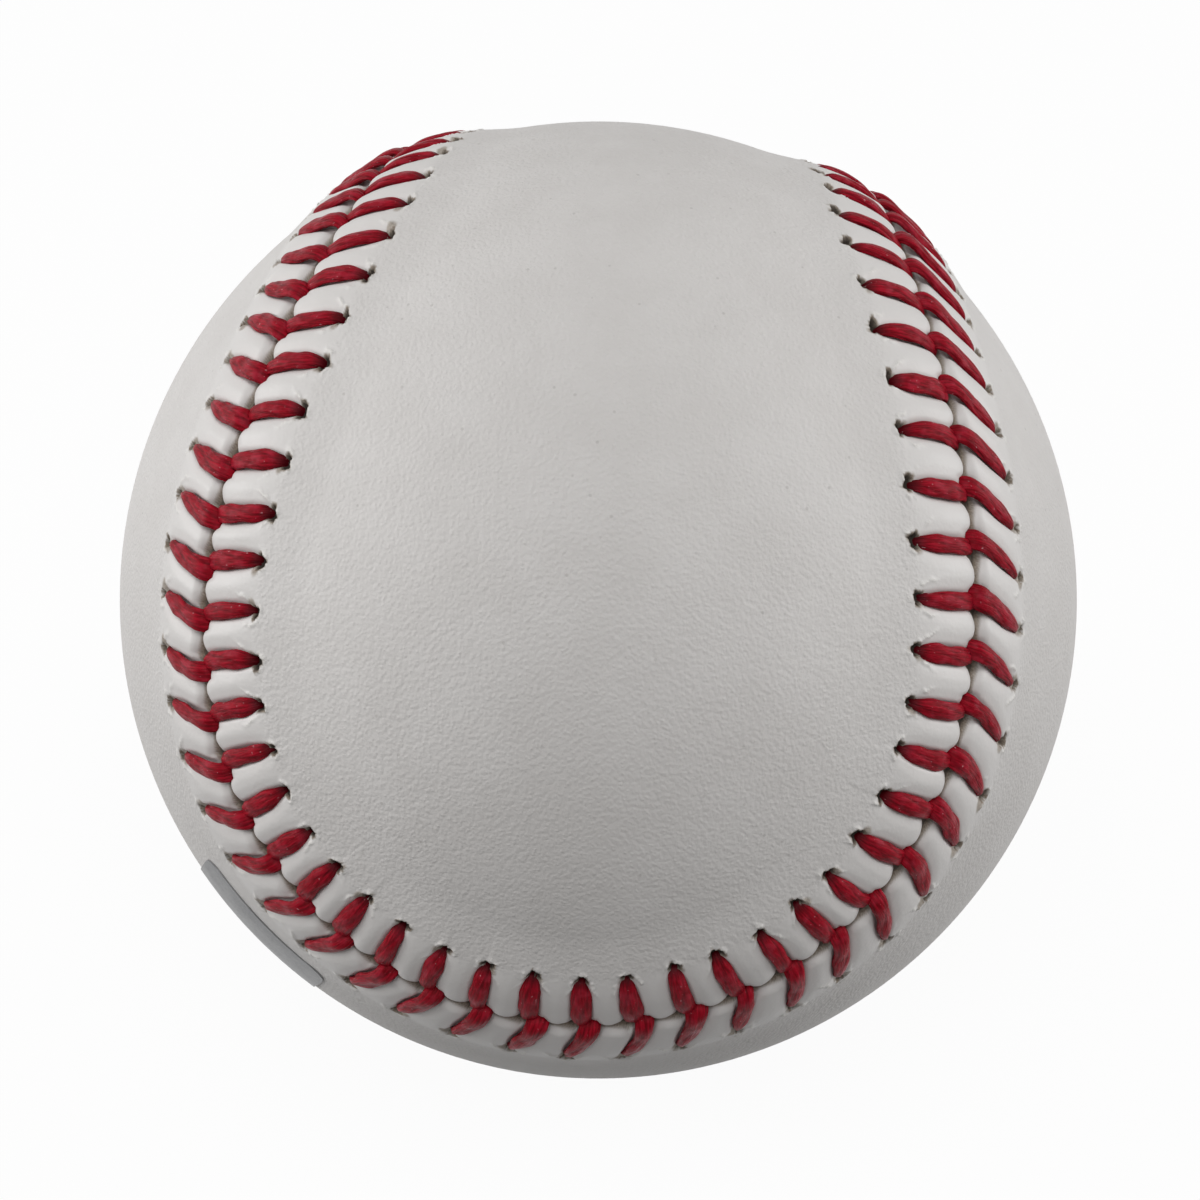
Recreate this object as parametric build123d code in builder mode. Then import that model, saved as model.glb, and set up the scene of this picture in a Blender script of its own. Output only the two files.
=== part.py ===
"""Baseball: a cushioned cork pill, four yarn windings and a two-panel leather cover sewn with two threads."""

import os
from math import cos, pi, radians, sin, tan

from build123d import *

os.makedirs("parts", exist_ok=True)

# Driving dimensions, in millimetres and degrees

# Pill: cork, two black rubber half shells round a gasket, two red rubber half shells
cork_diameter = 20.64
black_rubber_thickness = 3.97
red_rubber_thickness = 2.38
gasket_thickness = 0.8
joint_gap = 0.04

# Windings, from the pill outwards
inner_grey_yarn_thickness = 14.6
white_yarn_thickness = 1.75
outer_grey_yarn_thickness = 2.25
finish_yarn_thickness = 0.45

# Cover
cover_thickness = 1.1
margin_thickness = 0.8
margin_slope = 45.0
layer_gap = 0.02

# Seam curve: how far it waves round the neck axis and swings along it, and where it starts, as a share of a turn
seam_wave = 0.4562
seam_swing = 1.0104
seam_start = 0.75
ball_turn = (-53.08, 5.74, -0.37)

# Stitches: two threads, each in turn through a hole of the front panel and one of the back panel
stitch_count = 108
hole_offset = 5.35
hole_diameter = 0.8
thread_diameter = 0.6
thread_sides = 6
thread_room = 0.05

# Where each stitch lies along the seam, in stitches: mean place, then two drifts that come twice a round
front_hole_place = (0.800, 0.480, -0.225)
back_hole_place = (0.453, 0.145, -0.185)
seam_foot_place = (0.936, 0.335, -0.231)
foot_spacing = 0.24

# Foil label on the back panel
label_width = 12.4
label_length = 13.0
label_corner_radius = 1.5
label_thickness = 0.1
label_azimuth = 221.9
label_elevation = -19.0
label_tilt = -32.6

# Points that the seam's closed curves pass through, and how far a cutter passes what it cuts
seam_points = 96
wall_points = 144
cut_over = 2.0

# Sizes that follow from these
cork_radius = cork_diameter / 2
black_inner = cork_radius + layer_gap
black_outer = black_inner + black_rubber_thickness
red_inner = black_outer + layer_gap
red_outer = red_inner + red_rubber_thickness
inner_grey_inner = red_outer + layer_gap
inner_grey_outer = inner_grey_inner + inner_grey_yarn_thickness
white_inner = inner_grey_outer + layer_gap
white_outer = white_inner + white_yarn_thickness
outer_grey_inner = white_outer + layer_gap
outer_grey_outer = outer_grey_inner + outer_grey_yarn_thickness
finish_inner = outer_grey_outer + layer_gap
finish_outer = finish_inner + finish_yarn_thickness
cover_inner = finish_outer + layer_gap
cover_outer = cover_inner + cover_thickness

# The ball as it lies: local Z is the axis through the necks, the front panel's lobes lie along local Y
attitude = Plane(Rotation(*ball_turn))


def seam_direction(turn):
    """Unit vector to the seam, with turn from 0 to 1 round the ball from the end of the front lobe."""
    angle = 2 * pi * (turn + seam_start)
    point = Vector(
        cos(angle) - seam_wave * cos(3 * angle),
        sin(angle) + seam_wave * sin(3 * angle),
        seam_swing * cos(2 * angle),
    )
    return attitude.from_local_coords(point.normalized())


with BuildLine() as seam_line:
    Spline(*[seam_direction(i / seam_points) * cover_outer for i in range(seam_points)], periodic=True)
seam = seam_line.edge()
stitch_pitch = seam.length / stitch_count


def beside_seam(stitch, offset, radius):
    """Point beside the seam: stitches along it, offset onto the front panel, radius from the centre."""
    along = (stitch / stitch_count) % 1.0
    outward = (seam @ along).normalized()
    inward = outward.cross(seam % along).normalized()
    angle = offset / cover_outer
    return (outward * cos(angle) + inward * sin(angle)) * radius


def stitch_place(stitch, place):
    """Where along the seam a stitch has its hole or its foot, with the drift of hand sewing."""
    mean, sine_drift, cosine_drift = place
    angle = 4 * pi * stitch / stitch_count
    return stitch + mean + sine_drift * sin(angle) + cosine_drift * cos(angle)


# The stitched margin stands up by the thread that runs under it
crown_sag = hole_offset**2 / (8 * cover_outer)
run_sag = (hole_offset**2 + stitch_pitch**2) / (8 * cover_inner)
margin_inner = cover_inner + thread_diameter + 2 * thread_room + run_sag
margin_outer = margin_inner + margin_thickness
relief_width = hole_offset + hole_diameter / 2 + thread_room
margin_width = relief_width + cover_thickness
seam_gap = thread_diameter + 2 * thread_room
crown_radius = margin_outer + thread_room + crown_sag + thread_diameter / 2
run_radius = margin_inner - thread_room - thread_diameter / 2


def half_shell(inner, outer, middle, set_back, keep):
    """Half of a hollow sphere, on one side of its middle plane and set back from it."""
    joint = middle.offset(set_back if keep == Keep.TOP else -set_back)
    with BuildPart(middle) as half:
        Sphere(outer)
        Sphere(inner, mode=Mode.SUBTRACT)
        split(bisect_by=joint, keep=keep)
    return half


def layer(inner, outer):
    """A winding, taken as the hollow sphere that its turns fill."""
    with BuildPart() as winding:
        Sphere(outer)
        Sphere(inner, mode=Mode.SUBTRACT)
    return winding


def seam_wall(offset, lean):
    """Ruled face along the seam: offset onto the front panel at the margin's top, and more by lean further down."""
    rails = []
    for radius in (cover_inner - 2 * cut_over, margin_outer + 2 * cut_over):
        rail_offset = offset + lean * (margin_outer - radius)
        with BuildLine() as rail:
            stations = [stitch_count * i / wall_points for i in range(wall_points)]
            Spline(*[beside_seam(station, rail_offset, radius) for station in stations], periodic=True)
        rails.append(rail.edge())
    return Face.make_surface_from_curves(*rails)


def hole_point(stitch, side):
    """Middle of a stitch hole: side is 1 on the front panel and -1 on the back panel."""
    place = front_hole_place if side > 0 else back_hole_place
    return beside_seam(stitch_place(stitch, place), side * hole_offset, margin_outer)


def hollow_ball(inner, outer, wall_offset, keep, lean=0.0):
    """A hollow sphere on its neck axis, cut along a wall that follows the seam."""
    with BuildPart(attitude) as piece:
        Sphere(outer)
        Sphere(inner, mode=Mode.SUBTRACT)
        split(bisect_by=seam_wall(wall_offset, lean), keep=keep)
    return piece


def cover_panel(side):
    """A cover panel: plain leather that slopes up to its stitched margin over the thread, and its holes."""
    panel_side, seam_side = (Keep.BOTTOM, Keep.TOP) if side > 0 else (Keep.TOP, Keep.BOTTOM)
    lean = side / tan(radians(margin_slope))
    blank = hollow_ball(cover_inner, margin_outer, side * seam_gap / 2, panel_side)
    field = hollow_ball(cover_outer, margin_outer + cut_over, side * margin_width, panel_side, lean)
    relief = hollow_ball(cover_inner - cut_over, margin_inner, side * relief_width, seam_side)
    holes = [hole_point(stitch, side) for stitch in range(stitch_count)]
    with BuildPart() as panel:
        add(blank.part)
        add(field.part, mode=Mode.SUBTRACT)
        add(relief.part, mode=Mode.SUBTRACT)
        with Locations(*[Plane(hole, z_dir=hole) for hole in holes]):
            Cylinder(hole_diameter / 2, 2 * (margin_thickness + thread_room), mode=Mode.SUBTRACT)
    return panel


def thread_route(first_side):
    """A thread's corners: up through a hole, over to the seam, down, then under the other panel."""
    corners = []
    side = first_side
    for stitch in range(stitch_count):
        hole = hole_point(stitch, side).normalized()
        foot_at = stitch_place(stitch, seam_foot_place) - side * foot_spacing / 2
        foot = beside_seam(foot_at, 0, 1)
        corners += [hole * run_radius, hole * crown_radius, foot * crown_radius, foot * run_radius]
        side = -side
    return corners


def sewing_thread(first_side):
    """One needle's thread, in one length from its first hole to its last foot."""
    with BuildPart() as thread:
        with BuildLine() as route:
            Polyline(*thread_route(first_side))
        with BuildSketch(Plane(route.line @ 0, z_dir=route.line % 0)):
            RegularPolygon(thread_diameter / 2, thread_sides)
        sweep(transition=Transition.RIGHT)
    print(f"thread length {route.wire().length:.0f} mm")
    return thread


# Cork core
with BuildPart() as cork_core:
    Sphere(cork_radius)

# Black rubber half shells, which clamp the gasket between them
gasket_face = gasket_thickness / 2
gasket_seat = gasket_face + joint_gap
black_rubber_half_top = half_shell(black_inner, black_outer, Plane.XY, gasket_seat, Keep.TOP)
black_rubber_half_bottom = half_shell(black_inner, black_outer, Plane.XY, gasket_seat, Keep.BOTTOM)

# Gasket ring in the joint of the black shells
with BuildPart() as rubber_gasket:
    with BuildSketch(Plane.XY.offset(-gasket_face)):
        Circle(black_outer)
        Circle(black_inner, mode=Mode.SUBTRACT)
    extrude(amount=gasket_thickness)
    Sphere(black_outer, mode=Mode.INTERSECT)

# Red rubber half shells, with their joint across the black ones
red_rubber_half_left = half_shell(red_inner, red_outer, Plane.YZ, joint_gap / 2, Keep.BOTTOM)
red_rubber_half_right = half_shell(red_inner, red_outer, Plane.YZ, joint_gap / 2, Keep.TOP)

# Yarn windings
inner_grey_winding = layer(inner_grey_inner, inner_grey_outer)
white_winding = layer(white_inner, white_outer)
outer_grey_winding = layer(outer_grey_inner, outer_grey_outer)
finish_winding = layer(finish_inner, finish_outer)

# Cover panels, of the same outline
front_cover_panel = cover_panel(1)
back_cover_panel = cover_panel(-1)

# Sewing threads, one from each needle
first_thread = sewing_thread(1)
second_thread = sewing_thread(-1)

# Foil label, bent to the leather
label_axis = Plane(Rotation(0, 0, label_azimuth) * Rotation(0, -label_elevation, 0))
label_seat = Plane((0, 0, 0), x_dir=label_axis.y_dir, z_dir=label_axis.x_dir)
label_plane = Plane(label_seat.location * Rotation(0, 0, label_tilt))
with BuildPart() as foil_label:
    with BuildSketch(label_plane):
        RectangleRounded(label_width, label_length, label_corner_radius)
    extrude(amount=margin_outer)
    Sphere(cover_outer + layer_gap + label_thickness, mode=Mode.INTERSECT)
    Sphere(cover_outer + layer_gap, mode=Mode.SUBTRACT)

pieces = {
    "cork_core": cork_core,
    "black_rubber_half_top": black_rubber_half_top,
    "black_rubber_half_bottom": black_rubber_half_bottom,
    "rubber_gasket": rubber_gasket,
    "red_rubber_half_left": red_rubber_half_left,
    "red_rubber_half_right": red_rubber_half_right,
    "inner_grey_winding": inner_grey_winding,
    "white_winding": white_winding,
    "outer_grey_winding": outer_grey_winding,
    "finish_winding": finish_winding,
    "front_cover_panel": front_cover_panel,
    "back_cover_panel": back_cover_panel,
    "first_thread": first_thread,
    "second_thread": second_thread,
    "foil_label": foil_label,
}
for name, piece in pieces.items():
    piece.part.label = name
    export_step(piece.part, f"parts/{name}.step")

print(f"cover diameter {2 * cover_outer:.2f} mm, across the threads {2 * crown_radius + thread_diameter:.2f} mm")
print(f"seam length {seam.length:.1f} mm, stitch pitch {stitch_pitch:.3f} mm")
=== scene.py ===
from math import cos, pi, radians, sin, sqrt
from typing import NamedTuple

import bpy
import numpy as np
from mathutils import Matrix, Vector
from mathutils.geometry import delaunay_2d_cdt

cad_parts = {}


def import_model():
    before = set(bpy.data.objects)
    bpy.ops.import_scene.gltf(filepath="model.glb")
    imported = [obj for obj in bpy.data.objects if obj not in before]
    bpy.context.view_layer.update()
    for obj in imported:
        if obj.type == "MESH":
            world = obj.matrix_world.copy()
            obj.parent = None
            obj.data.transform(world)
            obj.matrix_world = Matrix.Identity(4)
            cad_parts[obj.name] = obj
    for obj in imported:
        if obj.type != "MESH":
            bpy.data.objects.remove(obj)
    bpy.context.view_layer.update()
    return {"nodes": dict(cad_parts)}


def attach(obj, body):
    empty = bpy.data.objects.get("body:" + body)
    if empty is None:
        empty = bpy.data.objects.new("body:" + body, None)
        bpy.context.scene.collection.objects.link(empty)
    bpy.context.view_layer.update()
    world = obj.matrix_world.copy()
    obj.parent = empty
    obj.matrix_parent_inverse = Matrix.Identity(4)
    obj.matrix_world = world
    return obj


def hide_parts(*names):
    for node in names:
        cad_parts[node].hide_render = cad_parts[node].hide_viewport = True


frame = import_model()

MM = 0.001
random = np.random.default_rng(108)

# Ball, in millimetres and degrees, as in the part
cover_radius = 36.96
cover_inner = 35.86
margin_inner = 36.70
seam_wave = 0.4562
seam_swing = 1.0104
seam_start = 0.75
ball_turn = (-53.08, 5.74, -0.37)
stitch_count = 108
hole_offset = 5.35

# Where each stitch lies along the seam, in stitches: mean place, then two drifts that come twice a round
hole_place = {1: (0.800, 0.480, -0.225), -1: (0.453, 0.145, -0.185)}
foot_place = (0.936, 0.335, -0.231)

# Feet at the seam: how far apart in stitches, pressed closer than in the part, and half the width of a foot
foot_spacing = 0.17
foot_half_width = 0.50

# How much nearer to the seam the legs of the back panel end
back_shorter = 0.40

# Unevenness of hand sewing: places in stitches, lengths in millimetres, the rest as shares
hole_uneven = 0.022
foot_uneven = 0.018
bow_uneven = 0.030
reach_uneven = 0.10
tear_uneven = 0.30
width_uneven = 0.06
crown_uneven = 0.05
pit_uneven = 0.08

# Random phases that each stitch has for its frayed hole, its lip and its lumps
phases_per_stitch = 6

# Stitched margin: height over the plain leather, and offsets where that is full and where it starts
crown_height = 0.95
crown_top = 2.6
crown_start = 9.8

# Relief under the margin: offset of its end, and the slope there from that offset
relief_end = 5.8
relief_slope = (-0.1, 0.4)

# Offsets between which the leather stops being pressed smooth
pressed_fade = (4.8, 6.4)

# Valleys under the legs: depth as a share of the margin, and how far they take to close at the holes
valley_share = 0.34
valley_close = 1.0

# Leather beside a leg: a steep rise from under the thread's edge, and a gentle one beyond it
steep_share = 0.74
steep_start = 0.45
steep_reach = 0.30
gentle_reach = 1.1

# Seam groove: floor, narrowest half width, and how much and where along a tongue it widens
groove_height = 0.12
edge_offset = 0.03
groove_wedge = 0.25
wedge_fade = (-0.6, 1.0)

# How dark the painted shade on the groove's floor is, where it fades in, and where a tongue's raw cut fades
# as it rounds over
painted_groove_shade = 0.8
painted_groove_shade_fade = (-0.05, 0.30)
raw_fade = (0.02, 0.22)

# Holes: half sizes along and across the margin, shift from the thread's end, floor, waves of the frayed rim
hole_half = (0.60, 0.48)
hole_shift = (0.10, 0.28)
hole_floor = -0.05
hole_fray = ((3, 0.14), (5, 0.10), (9, 0.07))

# Where a hole's depth, its painted shade and its bare rim end and where they are full, as shares of its size
pit_fade = (1.0, 0.50)
painted_hole_shade_fade = (1.05, 0.75)
bare_fade = (1.15, 1.0)

# Torn leather at a hole: half sizes along and across the margin, how far it lies back, how bare it is, fade
torn_half = (0.62, 0.45)
torn_back = 0.30
torn_share = 0.8
torn_fade = (1.1, 0.6)

# Lip of grain round a hole: half sizes, width and height of its ridge, and waves of its line
lip_half = (0.80, 0.62)
lip_width = 0.13
lip_height = 0.13
lip_wander = ((2.6, 0.16), (8.0, 0.08))

# The lip beside the leg: where it starts to spread and how much, where it fades in, and how ragged it is
lip_spread_start = 0.2
lip_spread = 0.45
lip_fade = (-1.9, -0.9)
lip_ragged = ((3, 1.0), (11, 0.5))
lip_ragged_fade = (-0.3, 0.9)

# Thread: sizes, plies, the length of one turn of them, and how deep and sharp the grooves between them are
thread_width = 1.38
thread_thickness = 0.66
ply_count = 4
ply_lay = 15.0
ply_groove = 0.12
ply_sharpness = 10

# Uneven thread: waves of its section, their size, corners and radians of their drift, and lumps along a leg
section_waves = (5, 7, 9)
section_swell = 0.030
drift_corners = 500
drift_step = 0.8
leg_lumps = ((6, 0.06), (14, 0.05))

# Along a leg, seam at 0, hole at 1: where its heel fades, its tip ends and it sinks, and how it thins there
heel_fade = (-0.05, 0.30)
tip_end = 1.02
sink_fade = (0.84, 0.97)
sunk_thinning = 0.35

# Mesh: columns of a panel's margin, rings of a leg, sides of a thread, and stitches repeated past each end
columns_per_stitch = 24
strip_columns = stitch_count * columns_per_stitch
leg_rings = 38
thread_sides = 24
extra_stitches = 3

# Steps that the seam is measured in, and points of it that distances are taken from
seam_divisions = 8192
seam_marks = 1600

# Lines of the margin: each step is used up to its offset, small at the seam edge and at the holes
strip_steps = ((0.9, 0.07), (4.4, 0.20), (6.2, 0.11), (crown_start, 0.30))

# Plain field: rings past the margin, and spacing of the points within them
field_steps = (0.28, 0.7, 1.5)
field_spacing = 1.1

# Inner face: rings along the seam, how many of them halve the points, and spacing of the points within them
inner_offsets = (0.4, 1.0, 2.2, 4.0, relief_end, relief_end + 0.5)
inner_halvings = 4
inner_spacing = 2.6

# How far the points within stay from the last ring, in spacings
fill_clearance = 0.55


class Form(NamedTuple):
    """How one panel's margin and the legs on it are shaped."""

    # How far out the holes lie, and how far before them the valleys start to close
    span: float
    close: float
    # Size of the holes as a share, and how dark their painted shade is
    pit: float
    shade: float
    # Tongue ends: how round they are from above and from the side
    bite: float
    rounding: float
    # Width of the thread as a share, at its foot and at its hole, and where it starts to taper
    heel: float
    tip: float
    taper: float


# The front panel is 1 and the back one -1
forms = {
    1: Form(
        span=hole_offset, close=0.30,
        pit=1.0, shade=1.0,
        bite=0.62, rounding=1.25,
        heel=0.76, tip=0.66, taper=0.70,
    ),
    -1: Form(
        span=hole_offset - back_shorter, close=0.55,
        pit=0.66, shade=0.45,
        bite=0.34, rounding=0.85,
        heel=1.10, tip=0.34, taper=0.48,
    ),
}


# Seam

def turned(points):
    """Points of the neck frame, turned as the ball lies."""
    a, b, c = [radians(angle) for angle in ball_turn]
    about_x = np.array([[1, 0, 0], [0, cos(a), -sin(a)], [0, sin(a), cos(a)]])
    about_y = np.array([[cos(b), 0, sin(b)], [0, 1, 0], [-sin(b), 0, cos(b)]])
    about_z = np.array([[cos(c), -sin(c), 0], [sin(c), cos(c), 0], [0, 0, 1]])
    return points @ (about_x @ about_y @ about_z).T


def unit(vectors):
    """Vectors brought to a length of 1."""
    return vectors / np.linalg.norm(vectors, axis=-1, keepdims=True)


def seam_direction(turn):
    """Unit vectors to the seam, with turn from 0 to 1 round the ball from the end of the front lobe."""
    angle = 2 * pi * (np.asarray(turn) + seam_start)
    local = np.stack([
        np.cos(angle) - seam_wave * np.cos(3 * angle),
        np.sin(angle) + seam_wave * np.sin(3 * angle),
        seam_swing * np.cos(2 * angle),
    ], axis=-1)
    return turned(unit(local))


# Turns and the lengths along the seam that belong to them
seam_turns = np.linspace(0, 1, seam_divisions + 1)
seam_steps = np.linalg.norm(np.diff(seam_direction(seam_turns), axis=0), axis=1)
seam_lengths = np.concatenate([[0], np.cumsum(seam_steps)]) * cover_radius
stitch_pitch = seam_lengths[-1] / stitch_count


def seam_frame(station):
    """Outward, along and inward unit vectors at stations counted in stitches along the seam."""
    length = np.mod(station, stitch_count) * stitch_pitch
    turn = np.interp(length, seam_lengths, seam_turns)
    outward = seam_direction(turn)
    step = 1e-4
    along = unit(seam_direction(turn + step) - seam_direction(turn - step))
    return outward, along, np.cross(outward, along)


def beside_seam(station, offset):
    """Unit vectors to points beside the seam, with the offset onto the front panel in millimetres."""
    outward, _, inward = seam_frame(station)
    angle = np.asarray(offset)[..., None] / cover_radius
    return np.cos(angle) * outward + np.sin(angle) * inward


def smooth(value, low, high):
    """0 at low, 1 at high and a smooth rise between them."""
    share = np.clip((value - low) / (high - low), 0, 1)
    return share * share * (3 - 2 * share)


# Stitches

def stitch_places(place, shift):
    """Where along the seam all stitches have their holes or feet."""
    stitch = np.arange(stitch_count)
    angle = 4 * pi * stitch / stitch_count
    return stitch + place[0] + place[1] * np.sin(angle) + place[2] * np.cos(angle) + shift


def uneven(size):
    """A random difference for each stitch, of this usual size and at most twice that."""
    return np.clip(random.normal(0, size, stitch_count), -2 * size, 2 * size)


class Legs:
    """The stitches on one panel: 1 is the front panel and -1 the back one."""

    def __init__(self, side):
        self.form = forms[side]
        self.hole = stitch_places(hole_place[side], uneven(hole_uneven))
        self.foot = stitch_places(foot_place, uneven(foot_uneven) - side * foot_spacing / 2)
        self.reach = self.form.span + uneven(reach_uneven)
        self.bow = uneven(bow_uneven)
        self.width = thread_width * (1 + uneven(width_uneven))
        self.crown = crown_height * (1 + uneven(crown_uneven))
        self.pit = self.form.pit + uneven(pit_uneven)
        self.torn = uneven(tear_uneven)
        self.phases = random.uniform(0, 2 * pi, (stitch_count, phases_per_stitch))

    def all_round(self, values, step=0.0):
        """Values of all stitches, with some repeated before and after, each round further by step."""
        index = np.arange(-extra_stitches, stitch_count + extra_stitches)
        return values[index % stitch_count] + step * (index // stitch_count)

    def stations(self, offset):
        """Where the legs cross a line at an offset from the seam, for all stitches in turn."""
        share = np.clip(offset / self.reach, 0, 1)
        return self.foot + (self.hole - self.foot) * share + 4 * self.bow * share * (1 - share)

    def half_width(self, share):
        """Half the width of the thread as a share, along a leg from the seam at 0 to the hole at 1."""
        heel, tip = self.form.heel, self.form.tip
        at_foot = heel + (1 - heel) * smooth(share, *heel_fade)
        return at_foot * (tip + (1 - tip) * smooth(share, tip_end, self.form.taper))


legs = {1: Legs(1), -1: Legs(-1)}


# Leather panels

def along_tongue(station):
    """Place along a tongue's end, from -1 at the feet before it to 1 at the feet after it."""
    foot_reach = foot_half_width / stitch_pitch
    starts = legs[-1].all_round(legs[-1].foot, step=stitch_count) + foot_reach
    ends = legs[1].all_round(legs[1].foot, step=stitch_count) - foot_reach
    index = np.searchsorted(ends, station)
    start, end = starts[index - 1], ends[index]
    return np.clip((2 * station - start - end) / (end - start), -1, 1)


def swollen(panel_legs, station, offset):
    """Height of leather that swells between legs and sinks under them, and the leg before each station."""
    form = panel_legs.form
    leg_at = panel_legs.all_round(panel_legs.stations(offset), step=stitch_count)
    before = np.searchsorted(leg_at, station, side="right") - 1
    share = np.clip(offset / form.span, 0, 1)
    half = panel_legs.all_round(0.5 * panel_legs.width * panel_legs.half_width(share))
    swell = 1.0
    for which in (before, before + 1):
        gap = np.abs(station - leg_at[which]) * stitch_pitch
        edge = half[which]
        steep = smooth(gap, steep_start * edge, edge + steep_reach)
        gentle = smooth(gap, edge, edge + gentle_reach)
        swell = swell * (steep_share * steep + (1 - steep_share) * gentle)
    closing = form.span - form.close
    inside = 1 - smooth(offset, closing, closing + valley_close)
    sunk = (1 - valley_share) * (1 - swell) * inside
    crown = panel_legs.all_round(panel_legs.crown)[before]
    return crown * smooth(offset, crown_start, crown_top) * (1 - sunk), before


def groove_edge(panel_legs, station):
    """Where the seam groove ends: tongue ends round off into it, and it widens towards the next feet."""
    along = along_tongue(station)
    wedge = groove_wedge * smooth(along, *wedge_fade)
    return edge_offset + wedge + panel_legs.form.bite * (1 - np.sqrt(1 - along**2))


def waving(waves, place, phases):
    """Sines added up: waves gives the number and the size of each."""
    return sum(size * np.sin(number * place + phase) for (number, size), phase in zip(waves, phases))


def hole_marks(panel_legs, which, station, offset):
    """How far points lie in a hole, in torn leather, in painted shade and on the lip, each from 0 to 1."""
    stitch = (which - extra_stitches) % stitch_count
    hole_at = panel_legs.hole[stitch] + stitch_count * ((which - extra_stitches) // stitch_count)
    across = (station - hole_at) * stitch_pitch - hole_shift[0]
    beyond = offset - panel_legs.reach[stitch] - hole_shift[1]
    angle = np.arctan2(beyond, across)
    phases = panel_legs.phases[stitch].T
    # Hole with a frayed rim, painted shade inside it, and bare leather round it
    fray = 1 + waving(hole_fray, angle, phases)
    distance = np.hypot(across / hole_half[0], beyond / hole_half[1]) / (fray * panel_legs.pit[stitch])
    pit = smooth(distance, *pit_fade)
    # Painted shade inside the hole
    dark = panel_legs.form.shade * smooth(distance, *painted_hole_shade_fade)
    torn_across = across - panel_legs.torn[stitch]
    torn = np.hypot(torn_across / torn_half[0], (beyond + torn_back) / torn_half[1]) / fray
    raw = np.maximum(torn_share * smooth(torn, *torn_fade), smooth(distance, *bare_fade))
    # Grain layer torn up beside the leg and beyond the hole
    beside = np.maximum(-beyond - lip_spread_start, 0) * lip_spread
    tear = np.hypot(across / lip_half[0], np.maximum(beyond, 0) / lip_half[1]) - beside
    wander = waving(lip_wander, beyond, phases[4:])
    flap = np.exp(-((tear - 1.0 + wander) / lip_width) ** 2) * smooth(beyond, *lip_fade)
    ragged = smooth(waving(lip_ragged, angle, (phases[3], phases[0])), *lip_ragged_fade)
    return pit, raw, dark, flap * ragged


def margin_row(panel_legs, station, offset):
    """Height, finish and painted shade along one line of the margin, at an offset from the seam."""
    height, before = swollen(panel_legs, station, offset)
    edge = groove_edge(panel_legs, station)
    rounding = np.clip((offset - edge) / panel_legs.form.rounding, 0, 1)
    rim = np.sqrt(1 - (1 - rounding) ** 2)
    height = groove_height + (height - groove_height) * rim
    raw = 1 - smooth(rounding, *raw_fade)
    # Painted shade on the floor of the seam groove
    painted_shade = painted_groove_shade * smooth(edge - offset, *painted_groove_shade_fade)
    lip = np.zeros_like(station)
    for which in (before, before + 1):
        pit, torn, dark, flap = hole_marks(panel_legs, which, station, offset)
        height = height + pit * (hole_floor - height) + lip_height * flap
        raw = np.maximum(raw, torn)
        # Painted shade of the holes, joined to that of the groove
        painted_shade = np.maximum(painted_shade, dark)
        lip = np.maximum(lip, flap)
    pressed = np.full_like(station, 1 - smooth(offset, *pressed_fade))
    return height, {"pressed": pressed, "raw": raw, "lip": lip, "painted_shade": painted_shade}


def strip_offsets():
    """Offsets of the margin's lines from the seam."""
    offsets = [edge_offset]
    for end, step in strip_steps:
        while offsets[-1] < end:
            offsets.append(offsets[-1] + step)
    return offsets


def even_points(spacing):
    """Directions spread evenly over the whole ball."""
    count = int(4 * pi * (cover_radius / spacing) ** 2)
    index = np.arange(count) + 0.5
    height = 1 - 2 * index / count
    angle = index * pi * (3 - sqrt(5))
    ring = np.sqrt(1 - height**2)
    return np.stack([ring * np.cos(angle), ring * np.sin(angle), height], axis=-1)


# Points of the seam that distances are taken from
seam_out, _, seam_in = seam_frame(np.linspace(0, stitch_count, seam_marks, endpoint=False))


def seam_distance(directions):
    """Distance from the seam in millimetres, positive on the front panel."""
    most_at_once = 4000
    distances = []
    for some in np.array_split(directions, 1 + len(directions) // most_at_once):
        nearest = np.argmax(some @ seam_out.T, axis=1)
        gap = np.arccos(np.clip(np.sum(some * seam_out[nearest], axis=1), -1, 1)) * cover_radius
        distances.append(gap * np.sign(np.sum(some * seam_in[nearest], axis=1)))
    return np.concatenate(distances)


def flattened(directions, side):
    """Points of a panel laid out flat, seen from the middle of the other panel."""
    axes = turned(np.eye(3))
    away = directions @ axes[2] * side
    flat = np.stack([directions @ axes[0], directions @ axes[1] * side], axis=-1)
    return flat / (1 + away)[:, None]


def panel_fill(side, rings, spacing):
    """Directions and triangles that fill a panel from its first ring inwards."""
    directions = np.concatenate(rings["directions"])
    inner = even_points(spacing)
    inner = inner[side * seam_distance(inner) > rings["reach"] + fill_clearance * spacing]
    directions = np.concatenate([directions, inner])
    flat = [Vector(point) for point in flattened(directions, side)]
    count = len(rings["directions"][0])
    border = [(i, (i + 1) % count) for i in range(count)]
    inside_only, tolerance = 1, 1e-9
    _, _, faces, origins, _, _ = delaunay_2d_cdt(flat, border, [], inside_only, tolerance)
    source = [numbers[0] for numbers in origins]
    triangles = [[source[corner] for corner in face] for face in faces]
    return directions, np.array(triangles)


def panel_rings(side, first_offset, offsets, halvings):
    """Rings of points along the seam, each with half the points of the one before until there are few."""
    rings = []
    count = strip_columns
    for place, offset in enumerate([first_offset, *offsets]):
        if 0 < place <= halvings:
            count //= 2
        stations = np.arange(count) * stitch_count / count
        rings.append(beside_seam(stations, np.full(count, side * offset)))
    return {"directions": rings, "reach": offsets[-1]}


def facing(points, faces, outward):
    """Faces with their corners in the order that makes them face away from the ball's middle, or to it."""
    a, b, c = points[faces[:, 0]], points[faces[:, 1]], points[faces[:, 2]]
    turn = np.sum(np.cross(b - a, c - a) * (a + b + c), axis=1)
    wrong = turn < 0 if outward else turn > 0
    faces[wrong] = faces[wrong][:, ::-1]
    return faces


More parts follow.
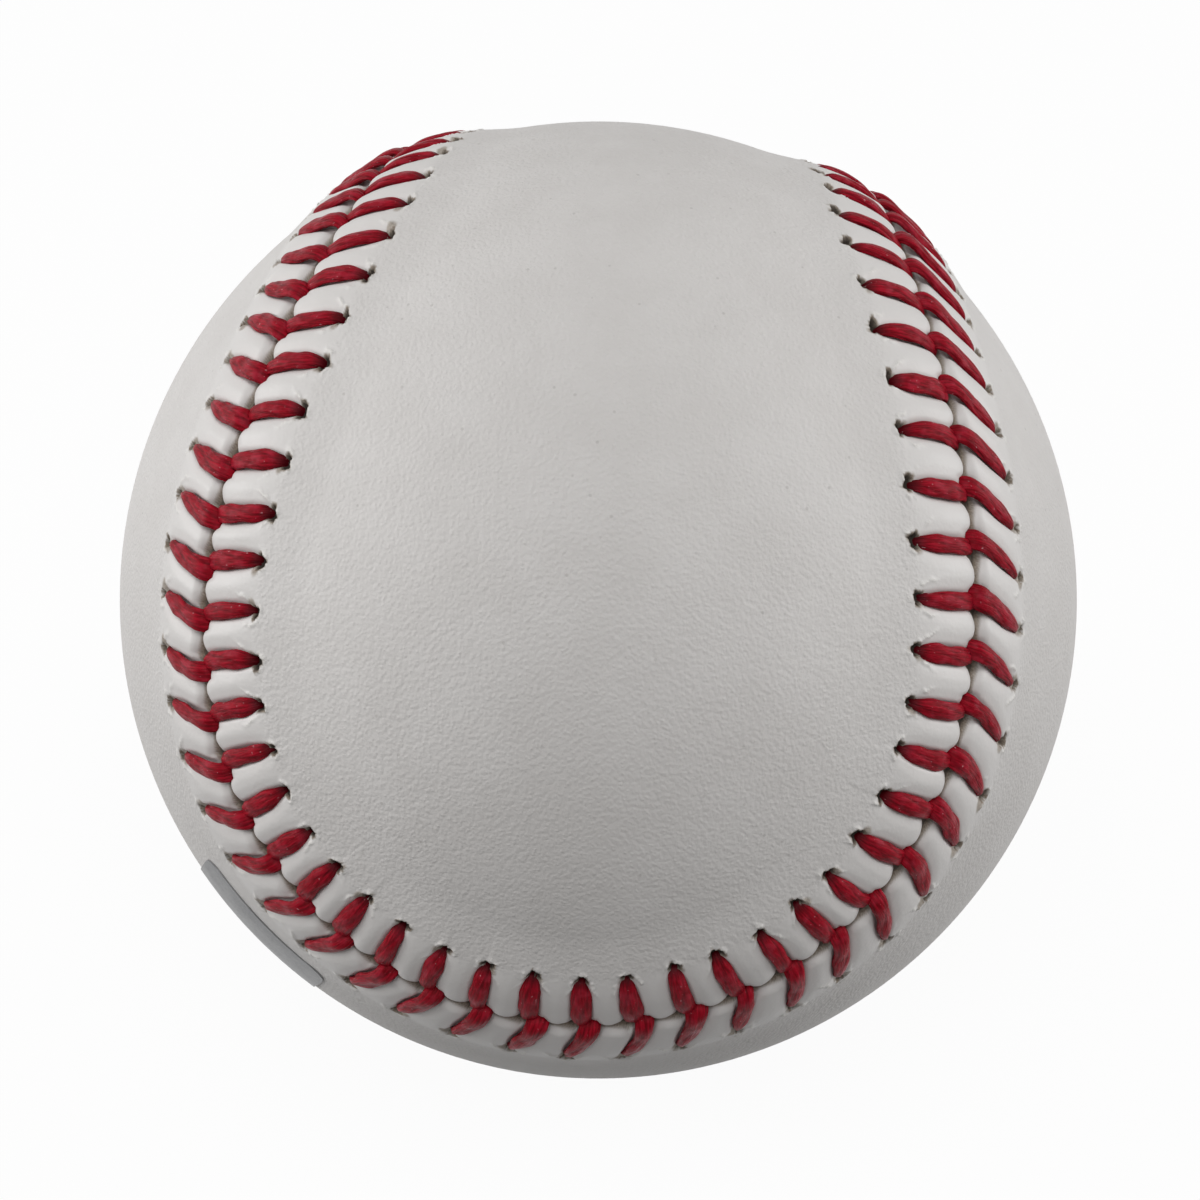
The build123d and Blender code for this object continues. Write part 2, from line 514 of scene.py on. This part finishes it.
def mesh_piece(name, points, faces, values):
    """A smooth mesh object from points in millimetres, with a value for each point under each name."""
    mesh = bpy.data.meshes.new(name)
    mesh.from_pydata((points * MM).tolist(), [], faces)
    for key, numbers in values.items():
        attribute = mesh.attributes.new(key, "FLOAT", "POINT")
        attribute.data.foreach_set("value", np.asarray(numbers, np.float32))
    mesh.shade_smooth()
    piece = bpy.data.objects.new(name, mesh)
    bpy.context.scene.collection.objects.link(piece)
    return piece


def grid_quads(grid):
    """Quads between the rows of a grid of point numbers, whose rows are closed rings."""
    following = np.roll(grid, -1, axis=1)
    return np.stack([grid[:-1], following[:-1], following[1:], grid[1:]], axis=-1).reshape(-1, 4)


def cover_panel(name, side):
    """A leather panel: stitched margin, plain field, inner face and the rim between them."""
    offsets = strip_offsets()
    stations = np.arange(strip_columns) * stitch_count / strip_columns
    strip, finishes_and_shade = [], []
    for offset in offsets:
        # Each line's finish, with its painted shade
        height, finish = margin_row(legs[side], stations, offset)
        directions = beside_seam(stations, np.full(strip_columns, side * offset))
        strip.append(directions * (cover_radius + height)[:, None])
        finishes_and_shade.append(finish)
    strip_size = len(offsets) * strip_columns
    grid = np.arange(strip_size).reshape(-1, strip_columns)
    # Plain field inside the margin
    last = offsets[-1]
    field_rings = panel_rings(side, last, [last + step for step in field_steps], len(field_steps))
    field, field_faces = panel_fill(side, field_rings, field_spacing)
    field_points = field[strip_columns:] * cover_radius
    on_strip = field_faces < strip_columns
    field_faces = np.where(on_strip, field_faces + grid[-1, 0], field_faces - strip_columns + strip_size)
    # Inner face, with the relief that the thread runs in
    inner_rings = panel_rings(side, edge_offset, inner_offsets, inner_halvings)
    inner, inner_faces = panel_fill(side, inner_rings, inner_spacing)
    slope_start, slope_end = [relief_end + step for step in relief_slope]
    past_relief = smooth(np.abs(seam_distance(inner)), slope_start, slope_end)
    inner_radius = margin_inner + (cover_inner - margin_inner) * past_relief
    inner_start = strip_size + len(field_points)
    inner_points = inner * inner_radius[:, None]
    inner_faces = inner_faces + inner_start
    # Rim at the seam
    rim_low = np.arange(strip_columns) + inner_start
    rim = np.stack([grid[0], rim_low, np.roll(rim_low, -1), np.roll(grid[0], -1)], axis=-1)
    if side < 0:
        rim = rim[:, ::-1]
    points = np.concatenate([*strip, field_points, inner_points])
    quads = facing(points, grid_quads(grid), True)
    field_faces = facing(points, field_faces, True)
    inner_faces = facing(points, inner_faces, False)
    faces = [*quads.tolist(), *rim.tolist(), *field_faces.tolist(), *inner_faces.tolist()]
    plain = np.zeros(len(points) - strip_size)
    values = {key: np.concatenate([*[finish[key] for finish in finishes_and_shade], plain]) for key in finishes_and_shade[0]}
    return mesh_piece(name, points, faces, values)


# Sewing threads

# A leg from its hole to its foot: share of the way out from the seam, height over the plain leather
leg_profile = (
    (0.98, -0.61),
    (0.98, -0.20),
    (0.97, 0.08),
    (0.93, 0.36),
    (0.85, 0.58),
    (0.70, 0.75),
    (0.50, 0.83),
    (0.30, 0.83),
    (0.14, 0.74),
    (0.05, 0.54),
    (0.01, 0.20),
    (0.00, -0.25),
    (0.00, -0.61),
)
# How far a leg's foot goes over to the other panel, as a share, and how much higher it lies there
foot_over = {1: -0.02, -1: 0.12}
foot_lift = {1: -0.24, -1: 0.30}
# Where along a leg these start and are full, and between which heights a lift takes hold
over_fade = (0.40, 0.0)
lift_fade = (0.45, 0.10)
lift_heights = (-0.2, 0.6)


def through(values, places):
    """Values on a smooth line through a list, at places counted along the list."""
    values = np.asarray(values, float)
    index = np.clip(places.astype(int), 0, len(values) - 2)
    part = places - index
    before = values[np.maximum(index - 1, 0)]
    start = values[index]
    end = values[index + 1]
    after = values[np.minimum(index + 2, len(values) - 1)]
    slope_start = (end - before) / 2
    slope_end = (after - start) / 2
    return ((2 * part**3 - 3 * part**2 + 1) * start + (part**3 - 2 * part**2 + part) * slope_start
            + (3 * part**2 - 2 * part**3) * end + (part**3 - part**2) * slope_end)


def thread_line(first_side):
    """Points of a thread's middle, directions along the seam, half its width, and how far it has sunk in."""
    places = np.linspace(0, len(leg_profile) - 1, leg_rings)
    share = through([corner[0] for corner in leg_profile], places)
    height = through([corner[1] for corner in leg_profile], places)
    points, sides, halves, ends = [], [], [], []
    side = first_side
    for stitch in range(stitch_count):
        panel = legs[side]
        over = foot_over[side] * smooth(share, *over_fade)
        offset = (share - over) * panel.reach[stitch]
        lean = panel.foot[stitch] + (panel.hole[stitch] - panel.foot[stitch]) * share
        station = lean + 4 * panel.bow[stitch] * share * (1 - share)
        lift = (panel.crown[stitch] - crown_height) + foot_lift[side] * smooth(share, *lift_fade)
        radius = cover_radius + height + lift * smooth(height, *lift_heights)
        points.append(beside_seam(station, side * offset) * radius[:, None])
        sides.append(seam_frame(station)[1])
        lumps = 1 + waving(leg_lumps, share, panel.phases[stitch][4:])
        halves.append(0.5 * panel.width[stitch] * panel.half_width(share) * lumps)
        ends.append(smooth(share, *sink_fade))
        side = -side
    return [np.concatenate(part) for part in (points, sides, halves, ends)]


def drifting(lengths):
    """An angle that wanders at random along a thread."""
    wander = np.cumsum(random.normal(0, drift_step, drift_corners))
    return np.interp(lengths, np.linspace(0, lengths[-1], drift_corners), wander)


def add_fibre_map(thread, lengths, quad_count):
    """Lengths along and shares round a thread, for its fibres."""
    layer = thread.data.uv_layers.new(name="fibre")
    corner_points = np.zeros(len(thread.data.loops), np.int32)
    thread.data.loops.foreach_get("vertex_index", corner_points)
    around = corner_points % thread_sides / thread_sides
    # A quad that closes a ring ends at 1 where its points start again at 0
    quad_corners = 4 * quad_count
    first_corners = np.repeat(np.arange(quad_count) * 4, 4)
    quad_around = around[:quad_corners]
    wrapped = np.zeros(len(corner_points))
    wrapped[:quad_corners] = (quad_around == 0) & (quad_around[first_corners] > 0.5)
    coordinates = np.stack([np.repeat(lengths, thread_sides)[corner_points], around + wrapped], axis=-1)
    layer.data.foreach_set("uv", coordinates.astype(np.float32).ravel())


def sewing_thread(name, first_side):
    """One needle's thread in one length: plies that are laid flat where it shows."""
    points, sides, halves, ends = thread_line(first_side)
    ahead = unit(np.gradient(points, axis=0))
    across = unit(sides - np.sum(sides * ahead, axis=1, keepdims=True) * ahead)
    upward = np.cross(ahead, across)
    lengths = np.concatenate([[0], np.cumsum(np.linalg.norm(np.diff(points, axis=0), axis=1))])
    angle = 2 * pi * np.arange(thread_sides) / thread_sides
    twist = 2 * pi * lengths / ply_lay
    groove = np.abs(np.cos(0.5 * ply_count * (angle[None, :] - twist[:, None]))) ** ply_sharpness
    swell = 1 - ply_groove * groove
    for waves in section_waves:
        swell = swell + section_swell * np.cos(waves * angle[None, :] + drifting(lengths)[:, None])
    thick = 0.5 * thread_thickness * (1 - sunk_thinning * ends)
    flat_across = halves[:, None] * np.cos(angle) * swell
    flat_upward = thick[:, None] * np.sin(angle) * swell
    rings = points[:, None] + across[:, None] * flat_across[..., None]
    rings = rings + upward[:, None] * flat_upward[..., None]
    grid = np.arange(len(points) * thread_sides).reshape(-1, thread_sides)
    quads = grid_quads(grid)
    caps = [grid[0, ::-1].tolist(), grid[-1].tolist()]
    values = {
        "groove": groove.ravel(),
        "sunk": np.repeat(ends, thread_sides),
    }
    thread = mesh_piece(name, rings.reshape(-1, 3), [*quads.tolist(), *caps], values)
    add_fibre_map(thread, lengths, len(quads))
    return thread


# Materials

class Shader:
    """A node material in the making."""

    def __init__(self, name):
        self.material = bpy.data.materials.new(name)
        self.material.use_nodes = True
        self.tree = self.material.node_tree
        self.surface = self.tree.nodes["Principled BSDF"]

    def node(self, kind, inputs=None, **settings):
        """A new node with its settings, and its inputs by name or number."""
        made = self.tree.nodes.new(kind)
        for key, value in settings.items():
            setattr(made, key, value)
        for key, value in (inputs or {}).items():
            self.set(made.inputs[key], value)
        return made

    def set(self, socket, value):
        """Links an input to another node's output, or gives it a fixed value."""
        if isinstance(value, bpy.types.NodeSocket):
            self.tree.links.new(value, socket)
        else:
            socket.default_value = value

    def finish(self, **values):
        """Inputs of the surface itself, with underscores for the spaces in their names."""
        for key, value in values.items():
            self.set(self.surface.inputs[key.replace("_", " ")], value)

    def math(self, operation, first, second=0.0):
        made = self.node("ShaderNodeMath", {0: first, 1: second}, operation=operation)
        return made.outputs[0]

    def remap(self, value, low, high, to_low=0.0, to_high=1.0):
        """A value brought from one range to another, smoothly at both ends."""
        inputs = {"Value": value, "From Min": low, "From Max": high, "To Min": to_low, "To Max": to_high}
        made = self.node("ShaderNodeMapRange", inputs, interpolation_type="SMOOTHSTEP")
        return made.outputs["Result"]

    def mix(self, factor, first, second):
        """A colour between two. A mix node's sockets for colours follow those for numbers and vectors."""
        made = self.node("ShaderNodeMix", {0: factor, 6: first, 7: second}, data_type="RGBA")
        return made.outputs[2]

    def value(self, name):
        """A value that the mesh holds for each of its points."""
        return self.node("ShaderNodeAttribute", attribute_name=name).outputs["Fac"]

    def millimetres(self):
        """Place on the object, in millimetres."""
        place = self.node("ShaderNodeTexCoord").outputs["Object"]
        scaled = self.node("ShaderNodeVectorMath", {0: place, 3: 1 / MM}, operation="SCALE")
        return scaled.outputs[0]

    def stretched(self, place, scale):
        """Places scaled along each axis, so that a pattern there is squeezed by as much."""
        return self.node("ShaderNodeMapping", {"Vector": place, "Scale": scale}).outputs[0]

    def noise(self, place, per_mm, detail=2.0, rough=0.5):
        """Soft random patches, with their number in a millimetre."""
        inputs = {"Vector": place, "Scale": per_mm, "Detail": detail, "Roughness": rough}
        return self.node("ShaderNodeTexNoise", inputs).outputs["Fac"]

    def cells(self, place, per_mm, feature="F1"):
        """Distance from the middle of a cell, and a random number for each cell."""
        made = self.node("ShaderNodeTexVoronoi", {"Vector": place, "Scale": per_mm}, feature=feature)
        colour = self.node("ShaderNodeSeparateColor", {0: made.outputs["Color"]})
        return made.outputs["Distance"], colour.outputs[0]

    def bump(self, height, depth, strength=1.0, normal=None):
        """Relief with its depth in millimetres, on top of other relief where there is some."""
        inputs = {"Height": height, "Distance": depth * MM, "Strength": strength}
        if normal is not None:
            inputs["Normal"] = normal
        return self.node("ShaderNodeBump", inputs).outputs["Normal"]


def rgb(red, green, blue):
    """A solid colour."""
    return (red, green, blue, 1.0)


def leather():
    """White tanned leather: fine pebble grain, few pores, pressed smooth along the seam, raw where cut."""
    dull_white = rgb(0.657, 0.635, 0.617)
    warm_white = rgb(0.692, 0.671, 0.654)
    pressed_white = rgb(0.717, 0.696, 0.679)
    lip_white = rgb(0.84, 0.82, 0.78)
    pore_grey = rgb(0.36, 0.34, 0.32)
    raw_brown = rgb(0.24, 0.195, 0.150)
    raw_tan = rgb(0.36, 0.305, 0.245)
    painted_shade_black = rgb(0.030, 0.022, 0.016)
    s = Shader("cover_leather")
    place = s.millimetres()
    pressed = s.value("pressed")
    raw = s.value("raw")
    lip = s.value("lip")
    painted_shade = s.value("painted_shade")
    pebbles, _ = s.cells(place, per_mm=3.4, feature="SMOOTH_F1")
    fine = s.noise(place, per_mm=5.0)
    wavy = s.noise(place, per_mm=0.55)
    fuzz = s.noise(place, per_mm=9.0, detail=3.0)
    grain = s.math("ADD", s.math("MULTIPLY", pebbles, -0.9), s.math("MULTIPLY", fine, 0.7))
    grain = s.math("MULTIPLY", grain, s.remap(pressed, 0.0, 1.0, 1.0, 0.22))
    relief = s.bump(grain, depth=0.060)
    relief = s.bump(wavy, depth=0.10, strength=0.35, normal=relief)
    frayed = s.math("MULTIPLY", fuzz, s.math("ADD", raw, lip))
    relief = s.bump(frayed, depth=0.08, strength=0.8, normal=relief)
    # Colour: warm white, faintly mottled, with tiny grey pores
    mottle = s.noise(place, per_mm=0.16, detail=3.0, rough=0.6)
    colour = s.mix(s.remap(mottle, 0.30, 0.70), dull_white, warm_white)
    pore_distance, pore_chance = s.cells(place, per_mm=0.70)
    pore = s.math("MULTIPLY", s.remap(pore_distance, 0.11, 0.05), s.remap(pore_chance, 0.45, 0.55))
    pore = s.math("MULTIPLY", pore, s.remap(pressed, 0.0, 0.6, 0.35, 0.0))
    colour = s.mix(pore, colour, pore_grey)
    # Whiter where it is pressed and torn up, tan where it is raw, and painted shade in holes and in the
    # groove
    colour = s.mix(s.remap(pressed, 0.0, 1.0, 0.0, 0.5), colour, pressed_white)
    colour = s.mix(s.math("MULTIPLY", lip, 0.7), colour, lip_white)
    fibre = s.noise(place, per_mm=6.0, detail=3.0)
    raw_colour = s.mix(s.remap(fibre, 0.35, 0.65), raw_brown, raw_tan)
    colour = s.mix(raw, colour, raw_colour)
    # Painted shade: near black in the holes and on the groove's floor
    colour = s.mix(painted_shade, colour, painted_shade_black)
    rough = s.math("ADD", s.remap(pressed, 0.0, 1.0, 0.56, 0.44), s.math("MULTIPLY", fine, 0.08))
    rough = s.math("ADD", rough, s.math("MULTIPLY", raw, 0.3))
    s.finish(Base_Color=colour, Roughness=rough, Normal=relief, Specular_IOR_Level=0.42)
    return s.material


def waxed_thread():
    """Red waxed cotton: fibres along the plies, painted shade between them and where it sinks in, specks of
    wax that are also painted glints.
    """
    deep_red = rgb(0.160, 0.001, 0.005)
    bright_red = rgb(0.390, 0.007, 0.022)
    worn_red = rgb(0.430, 0.030, 0.055)
    painted_ply_shade_red = rgb(0.070, 0.001, 0.004)
    painted_sunk_shade_red = rgb(0.040, 0.002, 0.004)
    wax_and_glint_pink = rgb(0.62, 0.36, 0.38)
    s = Shader("red_thread")
    place = s.millimetres()
    groove = s.value("groove")
    sunk = s.value("sunk")
    along = s.node("ShaderNodeUVMap", uv_map="fibre").outputs[0]
    fibres = s.noise(s.stretched(along, (0.9, 26.0, 1.0)), per_mm=1.0, detail=3.0, rough=0.6)
    patches = s.noise(place, per_mm=1.1)
    colour = s.mix(s.remap(fibres, 0.32, 0.68), deep_red, bright_red)
    colour = s.mix(s.remap(patches, 0.45, 0.75, 0.0, 0.55), colour, worn_red)
    # Painted shade in the grooves between the plies
    colour = s.mix(s.remap(groove, 0.15, 1.0, 0.0, 0.45), colour, painted_ply_shade_red)
    # Painted shade where the thread sinks into its hole
    colour = s.mix(s.math("MULTIPLY", sunk, 0.8), colour, painted_sunk_shade_red)
    # Specks of wax on the fibres' ridges, which are also painted glints
    wax_and_glint_noise = s.noise(place, per_mm=3.6)
    wax_and_glint_specks = s.math("MULTIPLY", s.remap(wax_and_glint_noise, 0.69, 0.74), s.remap(fibres, 0.45, 0.60))
    colour = s.mix(s.math("MULTIPLY", wax_and_glint_specks, 0.75), colour, wax_and_glint_pink)
    relief = s.bump(fibres, depth=0.08)
    rough = s.remap(patches, 0.3, 0.7, 0.46, 0.34)
    s.finish(Base_Color=colour, Roughness=rough, Normal=relief, Specular_IOR_Level=0.07)
    return s.material


def silver_foil():
    """Matt silver foil with a faint brushed grain."""
    dark_silver = rgb(0.13, 0.13, 0.135)
    light_silver = rgb(0.18, 0.18, 0.185)
    s = Shader("silver_foil")
    place = s.millimetres()
    brushed = s.noise(s.stretched(place, (0.6, 6.0, 6.0)), per_mm=1.0, detail=3.0)
    wrinkle = s.noise(place, per_mm=0.45)
    colour = s.mix(s.remap(wrinkle, 0.3, 0.7), dark_silver, light_silver)
    rough = s.remap(brushed, 0.3, 0.7, 0.36, 0.46)
    relief = s.bump(brushed, depth=0.01, strength=0.4)
    relief = s.bump(wrinkle, depth=0.08, strength=0.4, normal=relief)
    s.finish(Base_Color=colour, Roughness=rough, Normal=relief, Metallic=0.2)
    return s.material


def cork():
    """Pressed cork: pale and dark granules with fine pits."""
    dark_cork = rgb(0.28, 0.16, 0.075)
    pale_cork = rgb(0.52, 0.34, 0.18)
    pit_brown = rgb(0.12, 0.07, 0.035)
    s = Shader("cork")
    place = s.millimetres()
    granules, tone = s.cells(place, per_mm=0.9)
    colour = s.mix(s.remap(tone, 0.0, 1.0), dark_cork, pale_cork)
    pits = s.noise(place, per_mm=3.5, detail=3.0)
    colour = s.mix(s.remap(pits, 0.62, 0.72), colour, pit_brown)
    relief = s.bump(s.math("ADD", granules, pits), depth=0.15, strength=0.6)
    s.finish(Base_Color=colour, Roughness=s.remap(pits, 0.3, 0.7, 0.75, 0.9), Normal=relief)
    return s.material


def rubber(name, dark, light):
    """Moulded rubber with a dusty bloom."""
    s = Shader(name)
    place = s.millimetres()
    bloom = s.noise(place, per_mm=0.35, detail=4.0, rough=0.6)
    fine = s.noise(place, per_mm=6.0)
    colour = s.mix(s.remap(bloom, 0.35, 0.75), dark, light)
    relief = s.bump(fine, depth=0.02, strength=0.5)
    s.finish(Base_Color=colour, Roughness=s.remap(bloom, 0.3, 0.7, 0.55, 0.72), Normal=relief)
    return s.material


def wound_yarn(name, dark, light, yarn_width):
    """Yarn wound tight in crossing turns, with painted shade where the turns lie low and fuzz between the
    strands.
    """
    s = Shader(name)
    place = s.millimetres()
    bend = (25.0, 25.0, 25.0)
    bands_per_width = 0.31
    bent = s.node("ShaderNodeTexNoise", {"Vector": place, "Scale": 0.05, "Detail": 1.0}).outputs["Color"]
    leaning = s.node("ShaderNodeVectorMath", {0: bent, 1: bend, 2: place}, operation="MULTIPLY_ADD")
    bands = bands_per_width / yarn_width
    wave = {"Vector": leaning.outputs[0], "Scale": bands, "Distortion": 1.5, "Detail": 2.0}
    strands = s.node("ShaderNodeTexWave", wave, bands_direction="DIAGONAL").outputs["Fac"]
    crossing = s.node("ShaderNodeTexWave", wave, bands_direction="Z").outputs["Fac"]
    layer = s.remap(s.noise(place, per_mm=0.09, detail=1.0), 0.47, 0.53)
    below = s.math("SUBTRACT", 1.0, layer)
    turns = s.math("ADD", s.math("MULTIPLY", strands, layer), s.math("MULTIPLY", crossing, below))
    fuzz = s.noise(place, per_mm=5.0, detail=4.0, rough=0.7)
    # Darker where the turns lie low between the strands: painted shade
    colour = s.mix(turns, dark, light)
    colour = s.mix(s.remap(fuzz, 0.4, 0.8, 0.0, 0.4), colour, light)
    height = s.math("ADD", turns, s.math("MULTIPLY", fuzz, 0.4))
    relief = s.bump(height, depth=0.4 * yarn_width, strength=0.8)
    s.finish(Base_Color=colour, Roughness=s.remap(fuzz, 0.3, 0.7, 0.85, 0.95), Normal=relief)
    return s.material


# Pieces

leather_material = leather()
thread_material = waxed_thread()

new_pieces = (
    (cover_panel("front_panel_leather", 1), leather_material, "front_cover_panel", "cover_leather"),
    (cover_panel("back_panel_leather", -1), leather_material, "back_cover_panel", "cover_leather"),
    (sewing_thread("first_thread_laid", 1), thread_material, "first_thread", "red_thread"),
    (sewing_thread("second_thread_laid", -1), thread_material, "second_thread", "red_thread"),
)
for piece, material, node, slot in new_pieces:
    piece.data.materials.append(material)
    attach(piece, "root")
    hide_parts(node)

black = rubber("black_rubber", rgb(0.012, 0.012, 0.013), rgb(0.035, 0.034, 0.033))
red = rubber("red_rubber", rgb(0.24, 0.030, 0.022), rgb(0.34, 0.060, 0.045))
grey_wool = wound_yarn("grey_wool", rgb(0.13, 0.125, 0.12), rgb(0.36, 0.35, 0.335), yarn_width=1.0)
white_wool = wound_yarn("white_wool", rgb(0.48, 0.46, 0.42), rgb(0.78, 0.76, 0.71), yarn_width=0.9)
finish_yarn = wound_yarn("finish_yarn", rgb(0.55, 0.53, 0.48), rgb(0.82, 0.80, 0.75), yarn_width=0.45)
cad_materials = {
    "cork_core": cork(),
    "black_rubber_half_top": black,
    "black_rubber_half_bottom": black,
    "rubber_gasket": red,
    "red_rubber_half_left": red,
    "red_rubber_half_right": red,
    "inner_grey_winding": grey_wool,
    "white_winding": white_wool,
    "outer_grey_winding": grey_wool,
    "finish_winding": finish_yarn,
    "foil_label": silver_foil(),
}
for node, material in cad_materials.items():
    mesh = frame["nodes"][node].data
    mesh.materials.clear()
    mesh.materials.append(material)


# Stage

def seen_directly(tree):
    """1 where a ray comes from the camera, a reflection or a clear material."""
    path = tree.nodes.new("ShaderNodeLightPath")
    seen = path.outputs["Is Camera Ray"]
    for name in ("Is Glossy Ray", "Is Transmission Ray"):
        both = tree.nodes.new("ShaderNodeMath")
        both.operation = "MAXIMUM"
        tree.links.new(seen, both.inputs[0])
        tree.links.new(path.outputs[name], both.inputs[1])
        seen = both.outputs[0]
    return seen


def floor(reach, white_share):
    """A wide pale floor under the ball, white to the eye, with a light shadow."""
    mesh = bpy.data.meshes.new("floor")
    low = -cover_radius * MM
    corners = [(-reach, -reach, low), (reach, -reach, low), (reach, reach, low), (-reach, reach, low)]
    mesh.from_pydata(corners, [], [(0, 1, 2, 3)])
    made = bpy.data.objects.new("floor", mesh)
    bpy.context.scene.collection.objects.link(made)
    bounce_grey = rgb(0.14, 0.14, 0.14)
    seen_white = rgb(0.9, 0.9, 0.9)
    s = Shader("floor")
    seen = seen_directly(s.tree)
    colour = s.mix(seen, bounce_grey, seen_white)
    s.finish(Base_Color=colour, Roughness=0.9, Specular_IOR_Level=0.0)
    white = s.node("ShaderNodeEmission", {"Color": rgb(1, 1, 1), "Strength": 1.0})
    share = s.math("MULTIPLY", seen, white_share)
    both = s.node("ShaderNodeMixShader", {0: share, 1: s.surface.outputs[0], 2: white.outputs[0]})
    s.tree.links.new(both.outputs[0], s.tree.nodes["Material Output"].inputs["Surface"])
    mesh.materials.append(s.material)


def world(ambient):
    """Even light from all round, seen as white."""
    made = bpy.data.worlds.new("studio")
    made.use_nodes = True
    bpy.context.scene.world = made
    tree = made.node_tree
    background = tree.nodes["Background"]
    background.inputs["Color"].default_value = rgb(1, 1, 1)
    strength = tree.nodes.new("ShaderNodeMapRange")
    strength.inputs["To Min"].default_value = ambient
    strength.inputs["To Max"].default_value = 1.0
    tree.links.new(seen_directly(tree), strength.inputs["Value"])
    tree.links.new(strength.outputs["Result"], background.inputs["Strength"])


def lamp(name, place, size, power):
    """A square soft lamp that faces the ball, in metres and watts."""
    data = bpy.data.lights.new(name, "AREA")
    data.shape = "SQUARE"
    data.size = size
    data.energy = power
    made = bpy.data.objects.new(name, data)
    made.location = place
    made.rotation_euler = (-Vector(place)).to_track_quat("-Z", "Y").to_euler()
    made.visible_camera = False
    bpy.context.scene.collection.objects.link(made)


def camera(elevation, distance, lens, shift):
    """The photograph's view, with the distance and the lens in millimetres."""
    data = bpy.data.cameras.new("camera")
    data.lens = lens
    data.sensor_width = 36.0
    data.shift_x = shift
    data.clip_start = 0.01
    made = bpy.data.objects.new("camera", data)
    angle = radians(elevation)
    made.location = (0.0, -distance * cos(angle) * MM, distance * sin(angle) * MM)
    made.rotation_euler = (radians(90 - elevation), 0.0, 0.0)
    bpy.context.scene.collection.objects.link(made)
    bpy.context.scene.camera = made


floor(reach=3.0, white_share=0.95)
world(ambient=0.28)
lamp("overhead_lamp", place=(0.0, -0.30, 0.78), size=0.5, power=2.75)
lamp("left_lamp", place=(-0.75, 0.10, 0.16), size=0.38, power=3.1)
lamp("right_lamp", place=(0.75, 0.10, 0.16), size=0.38, power=2.5)
camera(elevation=45.0, distance=231.3, lens=88.7, shift=0.0014)
bpy.context.scene.view_settings.view_transform = "Standard"
